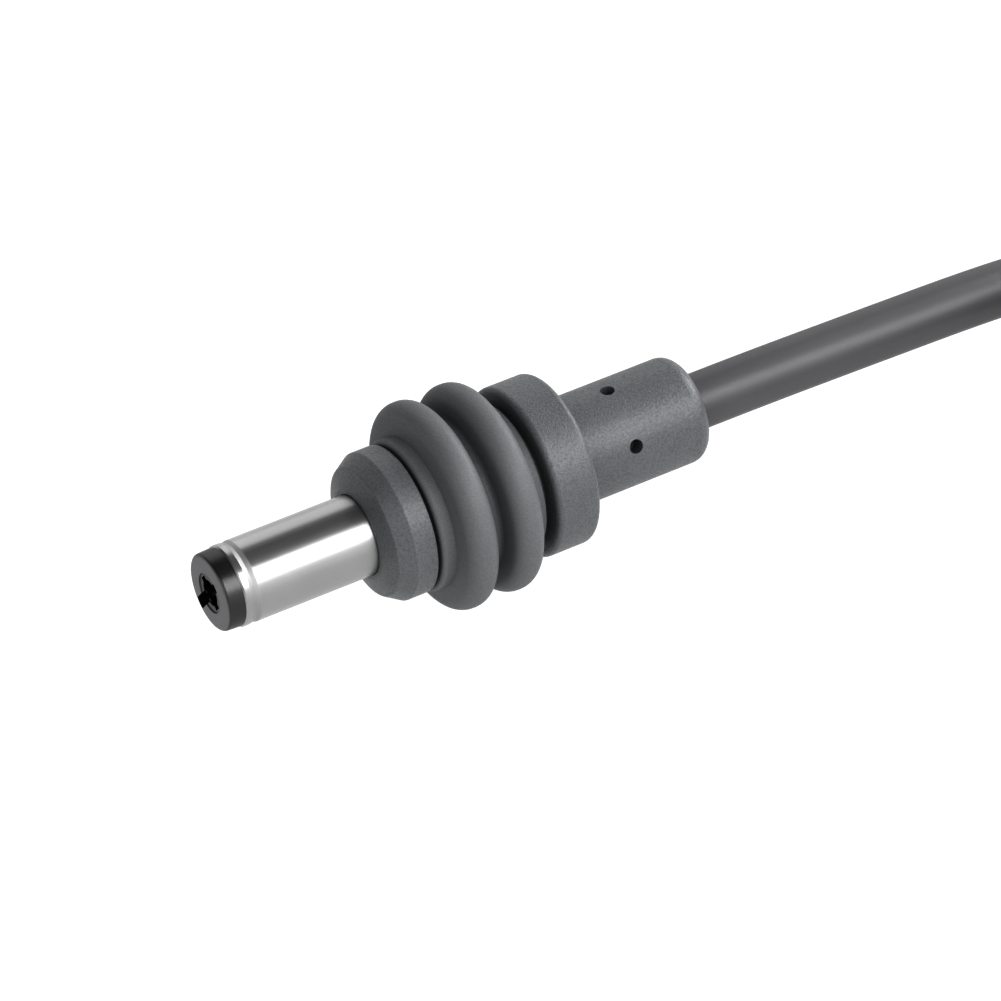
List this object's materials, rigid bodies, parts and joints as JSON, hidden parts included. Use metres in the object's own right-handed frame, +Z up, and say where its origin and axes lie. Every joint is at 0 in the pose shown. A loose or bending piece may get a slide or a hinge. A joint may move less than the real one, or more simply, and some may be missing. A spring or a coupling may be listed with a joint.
{
  "type": "dc power plug lead",
  "caption": "Round power lead joining a sealed, ribbed 5.5 by 2.1 mm DC barrel plug to a USB-C plug that asks the charger for its voltage",
  "frame": {"origin": "centre of the flat shoulder ring round the root of the DC plug's barrel, on the plug's axis", "axes": "+X from the DC plug's tip towards its cable, +Z up from the surface the lead lies on, +Y completes the right-handed frame"},
  "size_m": [0.1091, 0.0543, 0.0152],
  "materials": {
    "nickel_plate": "polished nickel plate",
    "black_plastic": "moulded, fine matte",
    "terminal_brass": "stamped",
    "red_insulation": "extruded",
    "bare_strands": "bare copper strands",
    "solder": "bright solder",
    "cable_jacket": "smooth extruded",
    "housing_plastic": "spark-eroded texture",
    "seal_rubber": "smooth moulded",
    "contact_gold": "gold plate",
    "spring_steel": "rolled",
    "board_green": "solder mask",
    "chip_tan": "ceramic"
  },
  "bodies": {
    "root": {"outer_sleeve": "nickel_plate", "tip_insulator": "black_plastic", "centre_socket": "nickel_plate", "rear_insulator": "black_plastic", "sleeve_terminal": "terminal_brass", "positive_core": "red_insulation", "negative_core": "black_plastic", "positive_strands": "bare_strands", "negative_strands": "bare_strands", "solder_joints": "solder", "plug_jacket_end": "cable_jacket", "inner_mould": "black_plastic", "plug_housing": "housing_plastic", "seal_sleeve": "seal_rubber", "cable_lead": "cable_jacket", "cable_coil": "cable_jacket", "usb_shell": "nickel_plate", "usb_insulator": "black_plastic", "usb_contacts_upper": "contact_gold", "usb_contacts_lower": "contact_gold", "usb_latch_plate": "spring_steel", "usb_circuit_board": "board_green", "usb_trigger_chip": "black_plastic", "usb_small_chips": "chip_tan", "usb_jacket_end": "cable_jacket", "usb_positive_core": "red_insulation", "usb_negative_core": "black_plastic", "usb_positive_strands": "bare_strands", "usb_negative_strands": "bare_strands", "usb_solder_joints": "solder", "usb_shield_can": "spring_steel", "usb_inner_mould": "black_plastic", "usb_grip": "housing_plastic"}
  },
  "joints": []
}
